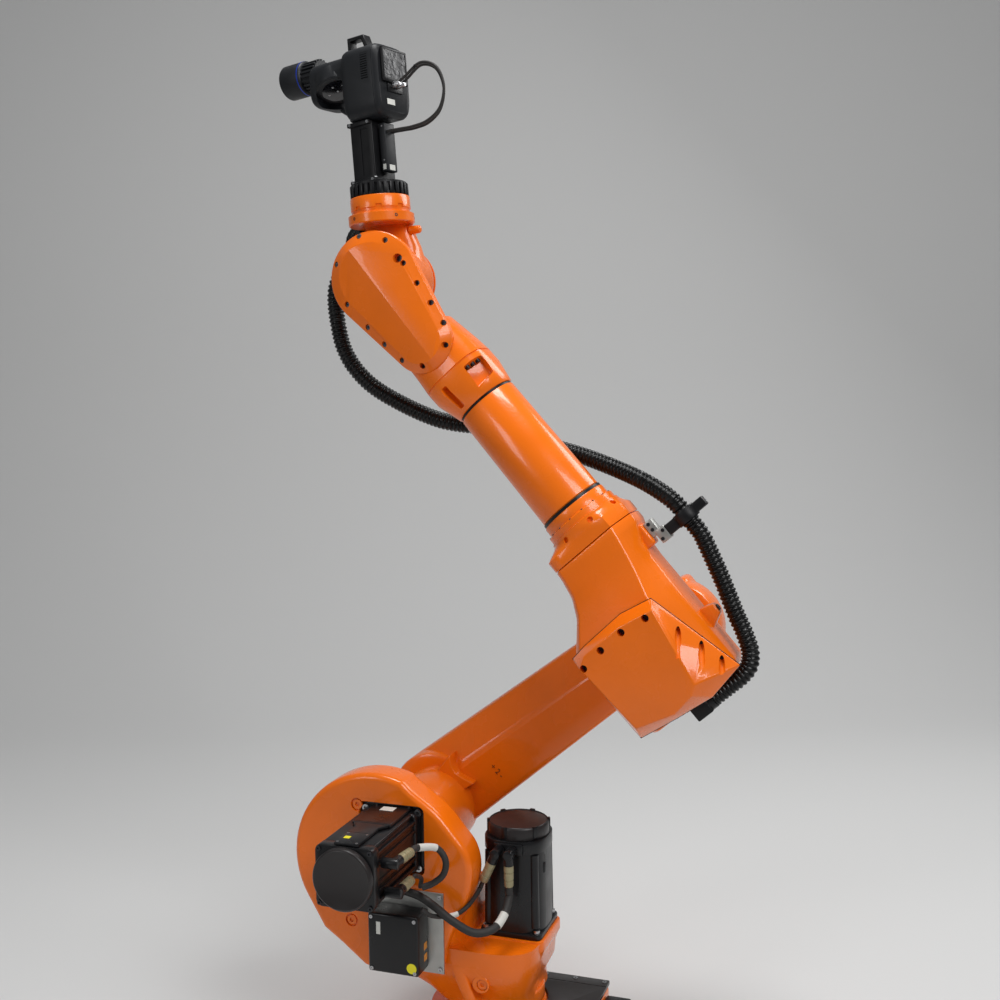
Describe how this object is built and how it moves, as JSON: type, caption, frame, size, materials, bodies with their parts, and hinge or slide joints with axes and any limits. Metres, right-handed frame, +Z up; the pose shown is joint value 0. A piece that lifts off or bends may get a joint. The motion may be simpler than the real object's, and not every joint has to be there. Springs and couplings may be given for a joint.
{
  "type": "industrial robot arm",
  "caption": "Jointed industrial robot arm in orange with black motors, a bolted base, an outside hose and a camera head with a hood on its flange.",
  "frame": {"origin": "middle of the base's underside, on the first axis", "axes": "+Z up; +X is the front of the base and of the arm, away from the base's connector box; +Y is the side with the second axis motor"},
  "size_m": [0.9301, 0.5556, 1.9284],
  "materials": {
    "a1_motor_body": "gloss paint",
    "a1_motor_cap": "matt",
    "a1_power_lead": "matt",
    "a1_power_plug": "matt",
    "a1_signal_lead": "matt",
    "a1_signal_plug": "matt",
    "a2_motor_body": "gloss paint",
    "a2_motor_cap": "matt",
    "a2_power_lead": "matt",
    "a2_power_plug": "matt",
    "a2_signal_lead": "matt",
    "a2_signal_plug": "matt",
    "a2_terminal_box": "matt",
    "base_casting": "gloss paint",
    "base_connector_box": "matt",
    "base_connector_cover": "matt",
    "belt_cover": "gloss paint",
    "camera_lead_power": "matt",
    "camera_lead_signal": "matt",
    "column_casting": "gloss paint",
    "elbow_bearing_ring": "matt",
    "elbow_cover": "gloss paint",
    "elbow_flange": "gloss paint",
    "elbow_housing": "gloss paint",
    "forearm_seal_ring": "matt",
    "forearm_tube": "gloss paint",
    "hand_far_cap": "gloss paint",
    "hand_hose_gland": "matt",
    "hand_housing": "gloss paint",
    "hose_bracket": "dull machined",
    "hose_clamp": "matt",
    "hose_clip": "matt",
    "hose_gland": "matt",
    "hose_lower": "matt",
    "hose_middle": "matt",
    "hose_upper": "matt",
    "interface_box": "matt",
    "link_arm": "gloss paint",
    "link_head_cover": "gloss paint",
    "link_root_cover": "gloss paint",
    "mounting_plate": "dull machined",
    "scanner_barrel": "matt",
    "scanner_body": "matt",
    "scanner_handle": "matt",
    "scanner_rear_cover": "matt",
    "shoulder_bearing_ring": "matt",
    "signal_box": "matt",
    "tool_adapter_ring": "gloss paint",
    "tool_post": "gloss paint",
    "turntable_ring": "matt",
    "wrist_bearing_ring": "matt",
    "wrist_housing": "gloss paint",
    "wrist_seal_ring": "matt"
  },
  "bodies": {
    "base": {"base_casting": "base_casting", "base_connector_box": "base_connector_box", "base_connector_cover": "base_connector_cover", "turntable_ring": "turntable_ring"},
    "column": {"a1_motor_body": "a1_motor_body", "a1_motor_cap": "a1_motor_cap", "a1_power_lead": "a1_power_lead", "a1_power_plug": "a1_power_plug", "a1_signal_lead": "a1_signal_lead", "a1_signal_plug": "a1_signal_plug", "a2_motor_body": "a2_motor_body", "a2_motor_cap": "a2_motor_cap", "a2_power_lead": "a2_power_lead", "a2_power_plug": "a2_power_plug", "a2_signal_lead": "a2_signal_lead", "a2_signal_plug": "a2_signal_plug", "a2_terminal_box": "a2_terminal_box", "column_casting": "column_casting", "mounting_plate": "mounting_plate", "signal_box": "signal_box"},
    "link": {"link_arm": "link_arm", "link_head_cover": "link_head_cover", "link_root_cover": "link_root_cover", "shoulder_bearing_ring": "shoulder_bearing_ring"},
    "elbow": {"elbow_bearing_ring": "elbow_bearing_ring", "elbow_cover": "elbow_cover", "elbow_flange": "elbow_flange", "elbow_housing": "elbow_housing", "forearm_seal_ring": "forearm_seal_ring", "hose_bracket": "hose_bracket", "hose_clamp": "hose_clamp", "hose_gland": "hose_gland", "hose_lower": "hose_lower"},
    "forearm": {"belt_cover": "belt_cover", "forearm_tube": "forearm_tube", "hose_clip": "hose_clip", "hose_middle": "hose_middle", "wrist_housing": "wrist_housing", "wrist_seal_ring": "wrist_seal_ring"},
    "hand": {"hand_far_cap": "hand_far_cap", "hand_hose_gland": "hand_hose_gland", "hand_housing": "hand_housing", "hose_upper": "hose_upper", "wrist_bearing_ring": "wrist_bearing_ring"},
    "tool": {"camera_lead_power": "camera_lead_power", "camera_lead_signal": "camera_lead_signal", "interface_box": "interface_box", "scanner_barrel": "scanner_barrel", "scanner_body": "scanner_body", "scanner_handle": "scanner_handle", "scanner_rear_cover": "scanner_rear_cover", "tool_adapter_ring": "tool_adapter_ring", "tool_post": "tool_post"}
  },
  "joints": [
    {"name": "a1_turn", "type": "hinge", "parent": "base", "child": "column", "pos_m": [0, 0, 0], "axis": [0, 0, 1], "range_deg": [-170, 170]},
    {"name": "a2_lean", "type": "hinge", "parent": "column", "child": "link", "pos_m": [0.15, 0, 0.435], "axis": [0, 1, 0], "range_deg": [-42.7, 207.3]},
    {"name": "a3_bend", "type": "hinge", "parent": "link", "child": "elbow", "pos_m": [-0.33265, 0, 0.80803], "axis": [0, -1, 0], "range_deg": [-62, 213]},
    {"name": "a4_roll", "type": "hinge", "parent": "elbow", "child": "forearm", "pos_m": [-0.35539, 0, 0.82759], "axis": [0.6521, 0, 0.7581], "range_deg": [-185, 185], "deforming": ["hose_middle"]},
    {"name": "a5_bend", "type": "hinge", "parent": "forearm", "child": "hand", "pos_m": [0.20215, 0, 1.4758], "axis": [0, -1, 0], "range_deg": [-148.7, 75.3], "deforming": ["hose_upper"]},
    {"name": "a6_roll", "type": "hinge", "parent": "hand", "child": "tool", "pos_m": [0.21283, 0, 1.62843], "axis": [0.0698, 0, 0.9976], "range_deg": [-350, 350]}
  ]
}
